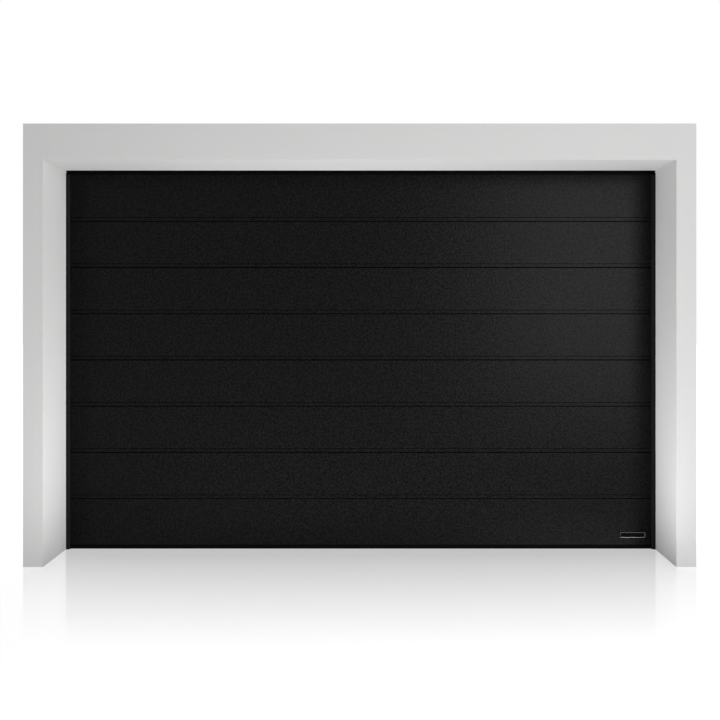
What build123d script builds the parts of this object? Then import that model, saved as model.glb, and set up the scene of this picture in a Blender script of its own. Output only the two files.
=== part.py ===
"""Sectional overhead garage door in the stub of wall that it closes.

The leaf is four insulated sections that hinge on each other and run on rollers in
side tracks. The tracks turn inwards over a curve behind the lintel, and two torsion
springs on a shaft above the leaf carry its weight through a cable on each side.

X runs across the opening, +Y into the garage and +Z up. The origin is on the floor,
under the middle of the bottom seal. All lengths are in millimetres.
"""

from build123d import *
import os

# Opening and wall stub
opening_width = 3500.0
pier_width = 110.0
lintel_height = 200.0
reveal_depth = 300.0

# Leaf
section_height = 550.0
section_thickness = 40.0
section_names = ("bottom", "lower", "upper", "top")
leaf_overlap = 20.0  # how far the leaf runs past each side of the opening
leaf_gap = 12.0  # from the back of the wall to the face of the leaf
leaf_top_gap = 23.0  # from the top of the leaf up to the lintel's underside
joint_clearance = 1.0
tongue_width = 22.0
tongue_height = 12.0
tongue_round = 6.0
shoulder_round = 6.0
back_edge_round = 2.0

# Lines pressed into the skins
line_spacing = 20.0  # between the shadow line and the fine line above it
fine_line_width = 3.0
fine_line_depth = 2.0
inner_line_count = 4

# End caps, bottom rail and seals
cap_sheet = 2.0
cap_flange = 65.0
bottom_rail_height = 7.0
rail_wall = 2.0
bottom_seal_height = 20.0
bottom_seal_width = 36.0
bottom_seal_wall = 3.0
bottom_seal_round = 5.0
bottom_seal_neck = 30.0
top_rail_height = 12.0
top_lip_rise = 20.0
lip_thickness = 3.0
lip_bend = 2.0
side_lip_reach = 22.0  # how far the lip shows inside the opening
side_lip_root = 8.0  # from the opening's side to the bend of the lip
side_seal_foot = 16.0
seal_clearance = 0.3

# Side frames
frame_sheet = 2.0
frame_edge = 2.0  # from the opening to the frame's inner edge
frame_rise = 190.0  # from the top of the opening to the top of the frames
frame_inset = 26.0  # from the outer face of the pier to the frame
frame_bend = 3.0

# Tracks
track_width = 52.0
track_depth = 26.0
track_sheet = 2.0
track_slot = 32.0
roller_standoff = 32.0  # from the leaf's back to the rollers' axes
track_floor_gap = 8.0
curve_radius = 300.0
track_drop = 50.0  # from the top of the opening down to the lower tracks' middle
track_spacing = 75.0
track_tail = 5.0  # how far the tracks run on past the open leaf
upper_track_lead = 5.0  # how far the upper tracks start before the rollers' axes

# Rollers
roller_diameter = 46.0
roller_width = 16.0
stem_diameter = 11.0
stem_tail = 5.0  # how far a stem comes out of its sleeve at the inner end
running_clearance = 0.1
bar_sides = 8  # small round bars, sleeves and their bores are drawn with few sides
bottom_roller_height = 87.0
top_roller_back = 23.0  # how far the top roller sits behind the others
carrier_rise = 30.0  # from a joint up to its roller

# Hinges
hinge_width = 60.0
hinge_leaf_height = 52.0
hinge_sheet = 2.5
hinge_relief = 8.0  # from the joint to the leaf beside the other leaf's knuckle
hinge_arm = 16.0  # from the joint to the root of a knuckle's arm
hinge_corner = 6.0
knuckle_radius = 6.5
knuckle_standoff = 7.0
knuckle_length = 20.0
side_knuckle_length = 18.0
pin_diameter = 8.0
pin_overhang = 1.5
hinge_columns = 3
hinge_pitch = 850.0
end_hinge_inset = 38.0  # from the leaf's side to the middle of an end hinge

# Roller carriers and corner brackets
bracket_sheet = 3.0
carrier_width = 50.0
sleeve_radius = 8.5
bottom_bracket_width = 62.0
bottom_bracket_height = 100.0
top_bracket_height = 90.0
top_bracket_gap = 5.0  # from the top of the leaf to the top bracket
bracket_edge = 4.0
cable_pin_diameter = 10.0
cable_pin_height = 60.0
cable_pin_head_radius = 9.0
cable_pin_head = 3.0

# Shaft, springs and cables
shaft_diameter = 25.4
shaft_wall = 3.0
shaft_rise = 110.0  # from the top of the opening to the shaft
shaft_overhang = 20.0
drum_radius = 58.0
drum_flange_radius = 64.0
drum_length = 58.0
drum_rim = 4.0
drum_web = 12.0
drum_wall = 8.0
drum_hub_radius = 22.0
drum_hub_length = 14.0
drum_gap = 2.0  # from the drum to the end bearing plate
cable_diameter = 4.0
cable_sides = 6
cable_eye_gap = 0.8  # between the cable's eye and its pin
cable_inset = 18.0  # from the track's mouth to the cable
cable_wrap = 300.0  # degrees of cable left on the drum when the door is closed
cable_stem_clearance = 6.5
cable_ferrule_radius = 4.5
cable_ferrule_length = 25.0
spring_diameter = 67.0
spring_wire = 7.0
spring_length = 620.0
plug_flange_radius = 40.0
plug_flange_thickness = 12.0
plug_grip = 45.0
plug_collar_radius = 30.0
plug_collar_length = 30.0
plug_clearance = 0.2
winding_hole_radius = 6.5
winding_hole_floor = 16.0
winding_holes = 4
bearing_radius = 26.0
bearing_width = 16.0

# Header rail and bearing plates
header_height = 130.0
header_depth = 18.0
header_sheet = 2.0
plate_sheet = 3.0
plate_height = 124.0
plate_foot = 26.0
plate_gap = 6.0  # from the track's mouth to the end bearing plate
plate_round = 30.0
centre_plate_sheet = 4.0
centre_foot = 70.0

# Corner plates, rear plates, cross bar and hangers
gusset_sheet = 2.5
gusset_gap = 1.0
gusset_margin = 20.0
gusset_leg = 60.0
gusset_tail = 118.0
gusset_corner = 10.0
rear_plate_length = 80.0
rear_plate_flange = 54.0
cross_bar_height = 60.0
cross_bar_depth = 30.0
cross_bar_sheet = 2.0
hanger_width = 60.0
hanger_sheet = 2.5
hanger_foot = 40.0
hanger_bend = 3.0
hanger_hole_radius = 4.5
hanger_hole_spacing = 40.0
hanger_slot_length = 20.0
hanger_slot_width = 8.0
hanger_slot_pitch = 32.0
hanger_slots = 4
hanger_rise = 149.0  # from the top of the tracks to the ceiling
middle_hanger_place = 1300.0
rear_hanger_inset = 50.0

# Places worked out from the sizes above
half_opening = opening_width / 2
half_leaf = half_opening + leaf_overlap
half_body = half_leaf - cap_sheet
leaf_face = -section_thickness / 2
leaf_back = section_thickness / 2
cap_back = leaf_back + cap_sheet
wall_back = leaf_face - leaf_gap
wall_middle = wall_back - reveal_depth / 2
outer_face = half_opening + pier_width
leaf_bottom = bottom_seal_height + bottom_rail_height
joint_heights = [leaf_bottom + section_height * (n + 1) for n in range(len(section_names) - 1)]
leaf_height = section_height * len(section_names)
leaf_top = leaf_bottom + leaf_height
opening_height = leaf_top + leaf_top_gap
frame_height = opening_height + frame_rise
rib_height = section_height / 2
frame_place = outer_face - frame_inset
track_back = frame_place - frame_sheet
track_mouth = track_back - track_depth
track_middle = track_back - track_depth / 2
roller_depth = leaf_back + roller_standoff
lower_track_height = opening_height - track_drop
curve_start = lower_track_height - curve_radius
curve_middle = roller_depth + curve_radius
track_end = curve_middle + leaf_height + track_tail
upper_track_start = roller_depth - upper_track_lead
upper_track_height = lower_track_height + track_spacing
tracks_bottom = lower_track_height - track_width / 2
tracks_top = upper_track_height + track_width / 2
ceiling = tracks_top + hanger_rise
pin_depth = cap_back + knuckle_standoff
carrier_place = half_leaf - end_hinge_inset
cable_radius = cable_diameter / 2
cable_place = track_mouth - cable_inset
cable_depth = roller_depth - stem_diameter / 2 - cable_stem_clearance - cable_radius
shaft_radius = shaft_diameter / 2
shaft_depth = cable_depth + drum_radius + cable_radius
shaft_height = opening_height + shaft_rise
plate_place = track_mouth - plate_gap
plate_inner_face = plate_place - plate_sheet
spring_start = centre_plate_sheet / 2 + plug_flange_thickness

os.makedirs("parts", exist_ok=True)


def write(piece, name):
    """Labels a finished piece and writes its file."""
    piece.part.label = name
    export_step(piece.part, f"parts/{name}.step")


def write_pair(right, name):
    """Writes a piece of the right side and its mirror image on the left."""
    with BuildPart() as left:
        mirror(right.part, about=Plane.YZ)
    write(left, f"{name}_left")
    write(right, f"{name}_right")


def make_wall():
    """Two piers and the lintel over them."""
    with BuildPart() as pier:
        with BuildSketch(Plane.XY):
            with Locations((half_opening + pier_width / 2, wall_middle)):
                Rectangle(pier_width, reveal_depth)
        extrude(amount=opening_height)
    write_pair(pier, "pier")

    with BuildPart() as lintel:
        with BuildSketch(Plane.XY.offset(opening_height)):
            with Locations((0, wall_middle)):
                Rectangle(2 * outer_face, reveal_depth)
        extrude(amount=lintel_height)
    write(lintel, "lintel")


def cut_line(face, height, inward):
    """Cuts a fine line into the open profile of a section; inward is 1 or -1 along Y."""
    Polygon(
        (face, height - fine_line_width / 2),
        (face + inward * fine_line_depth, height),
        (face, height + fine_line_width / 2),
        align=None,
        mode=Mode.SUBTRACT,
    )


def make_section(name, bottom, has_groove, has_tongue):
    """One insulated section, with the lines that are pressed into its skins."""
    top = bottom + section_height
    foot = bottom + (joint_clearance if has_groove else 0)
    groove_height = tongue_height + joint_clearance
    groove_roof = bottom + groove_height
    shadow_line = bottom + rib_height
    inner_pitch = section_height / (inner_line_count + 1)
    with BuildPart() as section_body:
        with BuildSketch(Plane.YZ) as outline:
            with Locations((0, (foot + top) / 2)):
                Rectangle(section_thickness, top - foot)
            if has_tongue:
                top_corners = outline.vertices().group_by(Axis.Y)[-1].sort_by(Axis.X)
                fillet(top_corners[0], shoulder_round)
                fillet(top_corners[-1], back_edge_round)
                with Locations((0, top + tongue_height / 2)):
                    Rectangle(tongue_width, tongue_height)
                fillet(outline.vertices().group_by(Axis.Y)[-1], tongue_round)
            if has_groove:
                with Locations((0, bottom + groove_height / 2)):
                    Rectangle(
                        tongue_width + 2 * joint_clearance, groove_height, mode=Mode.SUBTRACT
                    )
                roof_corners = outline.vertices().sort_by_distance((0, groove_roof))[:2]
                fillet(roof_corners, tongue_round)
                cut_line(leaf_face, bottom + line_spacing, 1)
            # The shadow line at mid height repeats the shadow under the lip of a joint.
            with Locations((leaf_face, shadow_line)):
                Rectangle(
                    shoulder_round,
                    shoulder_round,
                    align=(Align.MIN, Align.MAX),
                    mode=Mode.SUBTRACT,
                )
            with Locations((leaf_face + shoulder_round, shadow_line - shoulder_round)):
                Circle(shoulder_round)
            cut_line(leaf_face, shadow_line + line_spacing, 1)
            for line in range(inner_line_count):
                cut_line(leaf_back, bottom + inner_pitch * (line + 1), -1)
        extrude(amount=half_body, both=True)
    write(section_body, f"{name}_section")


def make_sections():
    """The four sections, from the floor up."""
    last = len(section_names) - 1
    for level, name in enumerate(section_names):
        bottom = leaf_bottom + level * section_height
        make_section(name, bottom, has_groove=level > 0, has_tongue=level < last)


def make_end_caps():
    """Bent sheet caps that close the ends of the sections and carry the end hinges."""
    with BuildPart() as caps:
        for level in range(len(section_names)):
            foot = leaf_bottom + level * section_height + joint_clearance
            with BuildSketch(Plane.XY.offset(foot)):
                with Locations((half_leaf, leaf_face)):
                    Rectangle(cap_sheet, cap_back - leaf_face, align=(Align.MAX, Align.MIN))
                with Locations((half_leaf, leaf_back)):
                    Rectangle(cap_flange, cap_sheet, align=(Align.MAX, Align.MIN))
            extrude(amount=section_height - 2 * joint_clearance)
        mirror(about=Plane.YZ)
    write(caps, "end_caps")


def make_bottom_edge():
    """The aluminium rail under the leaf and the hollow rubber seal in it."""
    with BuildPart() as rail:
        with BuildSketch(Plane.YZ.offset(-half_body)):
            with Locations((0, bottom_seal_height)):
                Rectangle(
                    section_thickness, bottom_rail_height, align=(Align.CENTER, Align.MIN)
                )
                Rectangle(
                    section_thickness - 2 * rail_wall,
                    bottom_rail_height - rail_wall,
                    align=(Align.CENTER, Align.MIN),
                    mode=Mode.SUBTRACT,
                )
        extrude(amount=2 * half_body)
    write(rail, "bottom_rail")

    with BuildPart() as seal:
        with BuildSketch(Plane.YZ.offset(-half_body)):
            with Locations((0, bottom_seal_height / 2)):
                RectangleRounded(bottom_seal_width, bottom_seal_height, bottom_seal_round)
                RectangleRounded(
                    bottom_seal_width - 2 * bottom_seal_wall,
                    bottom_seal_height - 2 * bottom_seal_wall,
                    bottom_seal_round - bottom_seal_wall,
                    mode=Mode.SUBTRACT,
                )
            with Locations((0, bottom_seal_height)):
                Rectangle(
                    bottom_seal_neck,
                    bottom_rail_height - rail_wall - seal_clearance,
                    align=(Align.CENTER, Align.MIN),
                )
        extrude(amount=2 * half_body)
    write(seal, "bottom_seal")


def make_top_edge():
    """The rail along the top of the leaf and the rubber lip that meets the lintel."""
    rail_top = leaf_top + top_rail_height
    with BuildPart() as rail:
        with BuildSketch(Plane.YZ.offset(-half_body)):
            with Locations((0, rail_top)):
                Rectangle(section_thickness, top_rail_height, align=(Align.CENTER, Align.MAX))
                Rectangle(
                    section_thickness - 2 * rail_wall,
                    top_rail_height - rail_wall,
                    align=(Align.CENTER, Align.MAX),
                    mode=Mode.SUBTRACT,
                )
        extrude(amount=2 * half_body)
    write(rail, "top_rail")

    half_lip = lip_thickness / 2
    lip_foot = leaf_face + rail_wall + seal_clearance + half_lip
    lip_tip = wall_back + seal_clearance + half_lip
    lip_length = half_opening + frame_edge - joint_clearance
    with BuildPart() as lip:
        with BuildSketch(Plane.YZ.offset(-lip_length)):
            with BuildLine():
                FilletPolyline(
                    (lip_foot, leaf_top + rail_wall + seal_clearance),
                    (lip_foot, rail_top + lip_thickness),
                    (lip_tip, rail_top + top_lip_rise - 2 * lip_thickness),
                    (lip_tip, rail_top + top_lip_rise),
                    radius=lip_bend,
                )
            trace(line_width=lip_thickness)
        extrude(amount=2 * lip_length)
    write(lip, "top_seal")


def make_side_seals():
    """Rubber lips on the side frames that lie against the face of the leaf."""
    half_lip = lip_thickness / 2
    foot_depth = wall_back + frame_sheet + half_lip
    with BuildPart() as seals:
        with BuildSketch(Plane.XY):
            with BuildLine():
                FilletPolyline(
                    (half_opening + frame_edge + side_seal_foot, foot_depth),
                    (half_opening - side_lip_root, foot_depth),
                    (half_opening - side_lip_reach, leaf_face - seal_clearance - half_lip),
                    radius=lip_bend,
                )
            trace(line_width=lip_thickness)
        extrude(amount=leaf_top - joint_clearance)
        mirror(about=Plane.YZ)
    write(seals, "side_seals")


def make_side_frames():
    """Bent angle frames behind the piers that carry the tracks."""
    wall_leg = wall_back + frame_sheet / 2
    web = frame_place - frame_sheet / 2
    web_end = roller_depth + frame_bend + gusset_gap
    with BuildPart() as side_frame:
        with BuildSketch(Plane.XY):
            with BuildLine():
                FilletPolyline(
                    (half_opening + frame_edge, wall_leg),
                    (web, wall_leg),
                    (web, web_end),
                    radius=frame_bend,
                )
            trace(line_width=frame_sheet)
        extrude(amount=frame_height)
    write_pair(side_frame, "side_frame")


def make_tracks():
    """The vertical track, its curve and the two horizontal tracks of each side."""
    with BuildSketch() as track_section:
        Rectangle(track_depth, track_width)
        Rectangle(
            track_depth - 2 * track_sheet, track_width - 2 * track_sheet, mode=Mode.SUBTRACT
        )
        with Locations(((track_sheet - track_depth) / 2, 0)):
            Rectangle(track_sheet, track_slot, mode=Mode.SUBTRACT)

    with BuildPart() as vertical_track:
        with BuildSketch(Plane.XY.offset(track_floor_gap)):
            with Locations((track_middle, roller_depth)):
                add(track_section.sketch)
        extrude(amount=curve_start - track_floor_gap)
    write_pair(vertical_track, "vertical_track")

    with BuildPart() as curved_track:
        with BuildSketch(Plane.XY.offset(curve_start)):
            with Locations((track_middle, roller_depth)):
                add(track_section.sketch)
        revolve(axis=Axis((0, curve_middle, curve_start), (-1, 0, 0)), revolution_arc=90)
    write_pair(curved_track, "curved_track")

    straight_tracks = (
        ("lower_track", curve_middle, lower_track_height),
        ("upper_track", upper_track_start, upper_track_height),
    )
    for name, start, height in straight_tracks:
        with BuildPart() as straight_track:
            with BuildSketch(Plane.XZ.offset(-start)):
                with Locations((track_middle, height)):
                    add(track_section.sketch)
            extrude(amount=start - track_end)
        write_pair(straight_track, name)


def make_corner_plates():
    """Plates that hold the curve and the horizontal tracks to the side frames."""
    front = roller_depth + frame_bend + 2 * gusset_gap
    inner_radius = curve_radius - track_width / 2 - gusset_margin
    foot = curve_start - gusset_leg
    tail = curve_middle + gusset_tail
    with BuildPart() as plates:
        with BuildSketch(Plane.YZ.offset(track_back)) as outline:
            with BuildLine():
                Polyline(
                    (curve_middle - inner_radius, curve_start),
                    (curve_middle - inner_radius, foot),
                    (front, foot),
                    (front, tracks_top),
                    (tail, tracks_top),
                    (tail, curve_start + inner_radius),
                    (curve_middle, curve_start + inner_radius),
                )
                RadiusArc(
                    (curve_middle, curve_start + inner_radius),
                    (curve_middle - inner_radius, curve_start),
                    -inner_radius,
                )
            make_face()
            tail_corners = outline.vertices().group_by(Axis.X)[-1]
            fillet(tail_corners, gusset_corner)
        extrude(amount=gusset_sheet)
        mirror(about=Plane.YZ)
    write(plates, "corner_plates")


def make_rear_plates():
    """Angle plates that join the ends of the tracks."""
    flange_face = track_end + gusset_sheet
    with BuildPart() as plates:
        with BuildSketch(Plane.XY.offset(tracks_bottom)):
            with Locations((track_back + gusset_sheet, flange_face)):
                Rectangle(
                    gusset_sheet,
                    rear_plate_length + gusset_sheet,
                    align=(Align.MAX, Align.MAX),
                )
                Rectangle(rear_plate_flange, gusset_sheet, align=(Align.MAX, Align.MAX))
        extrude(amount=tracks_top - tracks_bottom)
        mirror(about=Plane.YZ)
    write(plates, "rear_plates")

    half_bar = track_back + gusset_sheet
    with BuildPart() as bar:
        with BuildSketch(Plane.YZ.offset(-half_bar)):
            with Locations((flange_face, (tracks_top + tracks_bottom) / 2)):
                Rectangle(cross_bar_depth, cross_bar_height, align=(Align.MIN, Align.CENTER))
            with Locations((flange_face + cross_bar_sheet, (tracks_top + tracks_bottom) / 2)):
                Rectangle(
                    cross_bar_depth - cross_bar_sheet,
                    cross_bar_height - 2 * cross_bar_sheet,
                    align=(Align.MIN, Align.CENTER),
                    mode=Mode.SUBTRACT,
                )
        extrude(amount=2 * half_bar)
    write(bar, "cross_bar")


def make_hangers(name, place, seat):
    """Slotted straps from the tracks up to the ceiling; seat is the face they lie on."""
    strap = seat + hanger_sheet / 2
    foot_end = seat + hanger_sheet - hanger_foot
    foot_height = ceiling - hanger_sheet / 2
    first_slot = tracks_top + hanger_slot_length
    with BuildPart() as hangers:
        with BuildSketch(Plane.XZ.offset(-place)):
            with BuildLine():
                FilletPolyline(
                    (strap, tracks_bottom),
                    (strap, foot_height),
                    (foot_end, foot_height),
                    radius=hanger_bend,
                )
            trace(line_width=hanger_sheet)
        extrude(amount=hanger_width / 2, both=True)
        with BuildSketch(Plane.YZ.offset(seat)):
            with Locations((place, first_slot + hanger_slot_pitch * (hanger_slots - 1) / 2)):
                with GridLocations(0, hanger_slot_pitch, 1, hanger_slots):
                    Rectangle(hanger_slot_width, hanger_slot_length)
        extrude(amount=hanger_sheet, mode=Mode.SUBTRACT)
        with BuildSketch(Plane.XY.offset(ceiling - hanger_sheet)):
            with Locations((seat + hanger_sheet - hanger_foot / 2, place)):
                with GridLocations(0, hanger_hole_spacing, 1, 2):
                    Circle(hanger_hole_radius)
        extrude(amount=hanger_sheet, mode=Mode.SUBTRACT)
        mirror(about=Plane.YZ)
    write(hangers, name)


def bar(radius, mode=Mode.ADD):
    """Draws the section of a small round bar, or of its bore, with few sides."""
    turn = 180 / bar_sides
    RegularPolygon(radius, bar_sides, major_radius=False, rotation=turn, mode=mode)


def hinge_leaf(seat, side, knuckles):
    """One leaf with its joint at height zero; side is 1 above the joint and -1 below.

    seat is the face the leaf lies on, and knuckles holds a middle and a length for each.
    """
    with BuildPart() as leaf:
        with BuildSketch(Plane.XZ.offset(-seat)) as plate:
            with Locations((0, side * (hinge_leaf_height + hinge_relief) / 2)):
                Rectangle(hinge_width, hinge_leaf_height - hinge_relief)
            chamfer(plate.vertices().sort_by(Axis.Y, reverse=side > 0)[:2], hinge_corner)
        extrude(amount=-hinge_sheet)
        for middle, length in knuckles:
            with BuildSketch(Plane.YZ.offset(middle)):
                with BuildLine():
                    Polyline(
                        (seat, side * hinge_relief),
                        (seat, side * hinge_arm),
                        (seat + hinge_sheet, side * hinge_arm),
                        (pin_depth, side * knuckle_radius),
                        (pin_depth, 0),
                        (pin_depth - knuckle_radius, 0),
                        close=True,
                    )
                make_face()
                with Locations((pin_depth, 0)):
                    bar(knuckle_radius)
                    bar(pin_diameter / 2 + running_clearance, Mode.SUBTRACT)
            extrude(amount=length / 2, both=True)
    return leaf.part


def make_hinges():
    """The leaves and pins of the hinges across every joint."""
    first_column = -hinge_pitch * (hinge_columns - 1) / 2
    centre_columns = [first_column + hinge_pitch * n for n in range(hinge_columns)]
    end_columns = [-carrier_place, carrier_place]
    side_middle = (hinge_width - side_knuckle_length) / 2
    upper_knuckles = [(place, side_knuckle_length) for place in (-side_middle, side_middle)]
    leaves = (
        ("hinge_upper_leaves", 1, upper_knuckles),
        ("hinge_lower_leaves", -1, [(0, knuckle_length)]),
    )
    for name, side, knuckles in leaves:
        with BuildPart() as all_leaves:
            with Locations(*[(x, 0, z) for x in centre_columns for z in joint_heights]):
                add(hinge_leaf(leaf_back, side, knuckles))
            with Locations(*[(x, 0, z) for x in end_columns for z in joint_heights]):
                add(hinge_leaf(cap_back, side, knuckles))
        write(all_leaves, name)

    with BuildPart() as pins:
        for column in centre_columns + end_columns:
            with BuildSketch(Plane.YZ.offset(column)):
                with Locations(*[(pin_depth, z) for z in joint_heights]):
                    bar(pin_diameter / 2)
            extrude(amount=hinge_width / 2 + pin_overhang, both=True)
    write(pins, "hinge_pins")


def sleeve_bracket(plate_size, plate_middle, width, seat, sleeve, holes=()):
    """A plate with two cheeks that hold a roller's sleeve, drawn about X zero.

    plate_size and plate_middle are heights, seat is the face it lies on, sleeve is the
    depth and height of the roller, and holes are more places that the cheeks take in.
    """
    cheek_planes = (Plane.YZ.offset(-width / 2), Plane.YZ.offset(width / 2 - bracket_sheet))
    with BuildPart() as bracket:
        with BuildSketch(Plane.YZ):
            with Locations((seat, plate_middle)):
                Rectangle(bracket_sheet, plate_size, align=(Align.MIN, Align.CENTER))
            with Locations(sleeve):
                bar(sleeve_radius)
        extrude(amount=width / 2, both=True)
        with BuildSketch(*cheek_planes):
            with Locations((seat, plate_middle)):
                Rectangle(
                    bracket_sheet,
                    plate_size - 2 * bracket_edge,
                    align=(Align.MIN, Align.CENTER),
                )
            with Locations(sleeve, *holes):
                bar(sleeve_radius)
            make_hull()
        extrude(amount=bracket_sheet)
        with BuildSketch(Plane.YZ):
            with Locations(sleeve):
                bar(stem_diameter / 2 + running_clearance)
        extrude(amount=width / 2, both=True, mode=Mode.SUBTRACT)
    return bracket.part


def make_brackets():
    """Roller carriers on the end hinges, and the brackets at the leaf's corners."""
    with BuildPart() as carriers:
        with Locations(*[(carrier_place, 0, z) for z in joint_heights]):
            add(
                sleeve_bracket(
                    hinge_leaf_height - hinge_arm - 2 * joint_clearance,
                    (hinge_leaf_height + hinge_arm) / 2,
                    carrier_width,
                    cap_back + hinge_sheet,
                    (roller_depth, carrier_rise),
                )
            )
        mirror(about=Plane.YZ)
    write(carriers, "roller_carriers")

    with BuildPart() as bottom_brackets:
        with Locations((half_leaf - bottom_bracket_width / 2, 0, 0)):
            add(
                sleeve_bracket(
                    bottom_bracket_height,
                    leaf_bottom + joint_clearance + bottom_bracket_height / 2,
                    bottom_bracket_width,
                    cap_back,
                    (roller_depth, bottom_roller_height),
                    ((cable_depth, cable_pin_height),),
                )
            )
        with BuildSketch(Plane.YZ.offset(half_leaf)):
            with Locations((cable_depth, cable_pin_height)):
                bar(cable_pin_diameter / 2)
        extrude(amount=cable_place + cable_diameter - half_leaf)
        with BuildSketch(Plane.YZ.offset(cable_place + cable_diameter)):
            with Locations((cable_depth, cable_pin_height)):
                bar(cable_pin_head_radius)
        extrude(amount=cable_pin_head)
        mirror(about=Plane.YZ)
    write(bottom_brackets, "bottom_brackets")

    with BuildPart() as top_brackets:
        with Locations((carrier_place, 0, 0)):
            add(
                sleeve_bracket(
                    top_bracket_height,
                    leaf_top - top_bracket_gap - top_bracket_height / 2,
                    carrier_width,
                    cap_back,
                    (roller_depth + top_roller_back, upper_track_height),
                )
            )
        mirror(about=Plane.YZ)
    write(top_brackets, "top_brackets")


def make_rollers():
    """Ten rollers on stems, five to a side."""
    places = [(roller_depth, z + carrier_rise) for z in joint_heights]
    places.append((roller_depth, bottom_roller_height))
    places.append((roller_depth + top_roller_back, upper_track_height))
    stem_start = half_leaf - bottom_bracket_width - stem_tail
    stem_end = track_middle + roller_width / 2
    with BuildPart() as stems:
        with BuildSketch(Plane.YZ.offset(stem_start)):
            with Locations(*places):
                bar(stem_diameter / 2)
        extrude(amount=stem_end - stem_start)
        mirror(about=Plane.YZ)
    write(stems, "roller_stems")

    with BuildPart() as wheel:
        with BuildSketch(Plane.YZ.offset(track_middle)):
            Circle(roller_diameter / 2)
            bar(stem_diameter / 2 + running_clearance, Mode.SUBTRACT)
        extrude(amount=roller_width / 2, both=True)
    with BuildPart() as wheels:
        with Locations(*[(0, y, z) for y, z in places]):
            add(wheel.part)
        mirror(about=Plane.YZ)
    write(wheels, "roller_wheels")


def ring(inner_radius, outer_radius, start, end):
    """A ring round the torsion shaft from one place along X to another."""
    with BuildPart() as body:
        with BuildSketch(Plane.YZ.offset(start)):
            with Locations((shaft_depth, shaft_height)):
                Circle(outer_radius)
                Circle(inner_radius, mode=Mode.SUBTRACT)
        extrude(amount=end - start)
    return body.part


def make_shaft():
    """The tube across the back of the lintel, and the bearings it turns in."""
    half_shaft = plate_place + shaft_overhang
    with BuildPart() as shaft:
        add(ring(shaft_radius - shaft_wall, shaft_radius, -half_shaft, half_shaft))
    write(shaft, "torsion_shaft")

    bore = shaft_radius + running_clearance
    with BuildPart() as bearings:
        add(ring(bore, bearing_radius, plate_inner_face, plate_inner_face + bearing_width))
        mirror(about=Plane.YZ)
        add(ring(bore, bearing_radius, -centre_plate_sheet / 2, centre_plate_sheet / 2))
    write(bearings, "shaft_bearings")


def make_springs():
    """Two torsion springs and the plugs that grip their ends."""
    outer = spring_diameter / 2
    inner = outer - spring_wire
    spring_end = spring_start + spring_length
    with BuildPart() as springs:
        add(ring(inner, outer, spring_start, spring_end))
        mirror(about=Plane.YZ)
    write(springs, "torsion_springs")

    bore = shaft_radius + plug_clearance
    grip = inner - plug_clearance
    seat = centre_plate_sheet / 2
    hole_place = spring_end + plug_collar_length / 2
    with BuildPart() as plugs:
        add(ring(bore, plug_flange_radius, seat, spring_start))
        add(ring(bore, grip, spring_start, spring_start + plug_grip))
        add(ring(bore, grip, spring_end - plug_grip, spring_end))
        add(ring(bore, plug_collar_radius, spring_end, spring_end + plug_collar_length))
        for hole in range(winding_holes):
            spoke = Plane(
                origin=(hole_place, shaft_depth, shaft_height),
                x_dir=(1, 0, 0),
                z_dir=Vector(0, 1, 0).rotate(Axis.X, 360 * hole / winding_holes),
            )
            with BuildSketch(spoke.offset(winding_hole_floor)):
                bar(winding_hole_radius)
            extrude(amount=plug_collar_radius, mode=Mode.SUBTRACT)
        mirror(about=Plane.YZ)
    write(plugs, "spring_plugs")


def make_drums():
    """Drums that wind up the cables, one at each end of the shaft."""
    drum_face = plate_inner_face - drum_gap
    drum_back = drum_face - drum_length
    bore = shaft_radius + running_clearance
    with BuildPart() as drums:
        with BuildSketch(Plane.XZ.offset(-shaft_depth)):
            with Locations((drum_face, shaft_height)):
                Rectangle(drum_length, drum_radius, align=(Align.MAX, Align.MIN))
                Rectangle(drum_rim, drum_flange_radius, align=(Align.MAX, Align.MIN))
            with Locations((drum_back, shaft_height + drum_hub_radius)):
                Rectangle(
                    drum_length - drum_web,
                    drum_radius - drum_wall - drum_hub_radius,
                    align=(Align.MIN, Align.MIN),
                    mode=Mode.SUBTRACT,
                )
            with Locations((drum_back - drum_hub_length, shaft_height)):
                Rectangle(
                    drum_length + drum_hub_length,
                    drum_hub_radius,
                    align=(Align.MIN, Align.MIN),
                )
                Rectangle(
                    drum_length + drum_hub_length,
                    bore,
                    align=(Align.MIN, Align.MIN),
                    mode=Mode.SUBTRACT,
                )
        revolve(axis=Axis((0, shaft_depth, shaft_height), (1, 0, 0)))
        mirror(about=Plane.YZ)
    write(drums, "cable_drums")


def cable_section():
    """Draws the section of a cable, flat towards the drum."""
    RegularPolygon(cable_radius, cable_sides, major_radius=False)


def make_cables():
    """Lifting cables from the bottom brackets to the drums."""
    eye_radius = cable_pin_diameter / 2 + cable_eye_gap + cable_radius
    eye_top = cable_pin_height + eye_radius
    with BuildPart() as cables:
        with BuildSketch(Plane.XY.offset(eye_top)):
            with Locations((cable_place, cable_depth)):
                cable_section()
        extrude(amount=shaft_height - eye_top)
        with BuildSketch(Plane.XY.offset(eye_top + cable_radius)):
            with Locations((cable_place, cable_depth)):
                bar(cable_ferrule_radius)
        extrude(amount=cable_ferrule_length)
        with BuildSketch(Plane.XY.offset(cable_pin_height)):
            with Locations((cable_place, cable_depth + eye_radius)):
                cable_section()
        revolve(axis=Axis((0, cable_depth, cable_pin_height), (1, 0, 0)))
        with BuildSketch(Plane.XY.offset(shaft_height)):
            with Locations((cable_place, cable_depth)):
                cable_section()
        revolve(
            axis=Axis((0, shaft_depth, shaft_height), (-1, 0, 0)), revolution_arc=cable_wrap
        )
        mirror(about=Plane.YZ)
    write(cables, "lift_cables")


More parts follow.
